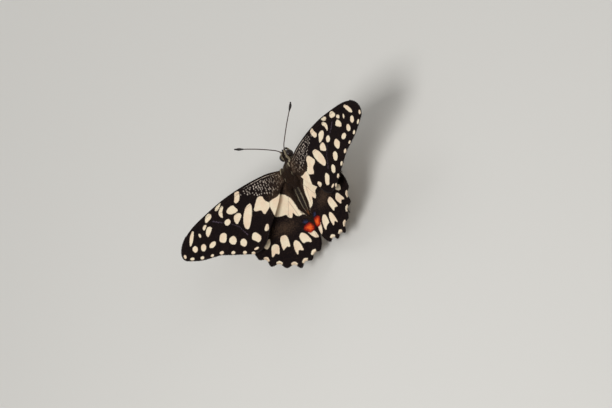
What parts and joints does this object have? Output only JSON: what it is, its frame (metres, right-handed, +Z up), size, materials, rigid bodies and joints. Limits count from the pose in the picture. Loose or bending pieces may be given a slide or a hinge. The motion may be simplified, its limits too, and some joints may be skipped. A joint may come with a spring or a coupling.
{
  "type": "lime butterfly",
  "caption": "Life-size still model of a lime butterfly standing with spread, spotted wings, for display or as a natural-history prop.",
  "frame": {"origin": "on the floor, under the middle of the butterfly's overall box, in its plane of symmetry", "axes": "+X to the butterfly's left along the wingspan, -Y towards the head, +Z up"},
  "size_m": [0.0894, 0.0468, 0.023],
  "materials": {
    "body_fur": "soft dark brown hair with cream streaks along the sides of the head and thorax",
    "abdomen_scales": "short dark scales with a pale line along each side and a cream underside",
    "eye": "glossy dark facets",
    "antenna": "dark brown rings with a black club",
    "tongue": "satin brown, finely ringed",
    "leg": "satin brown with short scales",
    "forewing": "near-black velvet scales with cream spots above, cream with black bands below",
    "hindwing": "near-black velvet scales with a cream patch, cream spots and a red spot above, cream with black bands below"
  },
  "bodies": {
    "root": {"head": "body_fur", "thorax": "body_fur", "abdomen": "abdomen_scales", "eye_left": "eye", "eye_right": "eye", "antenna_left": "antenna", "antenna_right": "antenna", "palp_left": "body_fur", "palp_right": "body_fur", "proboscis": "tongue", "leg_front_left": "leg", "leg_front_right": "leg", "leg_middle_left": "leg", "leg_middle_right": "leg", "leg_hind_left": "leg", "leg_hind_right": "leg", "forewing_left": "forewing", "forewing_right": "forewing", "hindwing_left": "hindwing", "hindwing_right": "hindwing"}
  },
  "joints": []
}
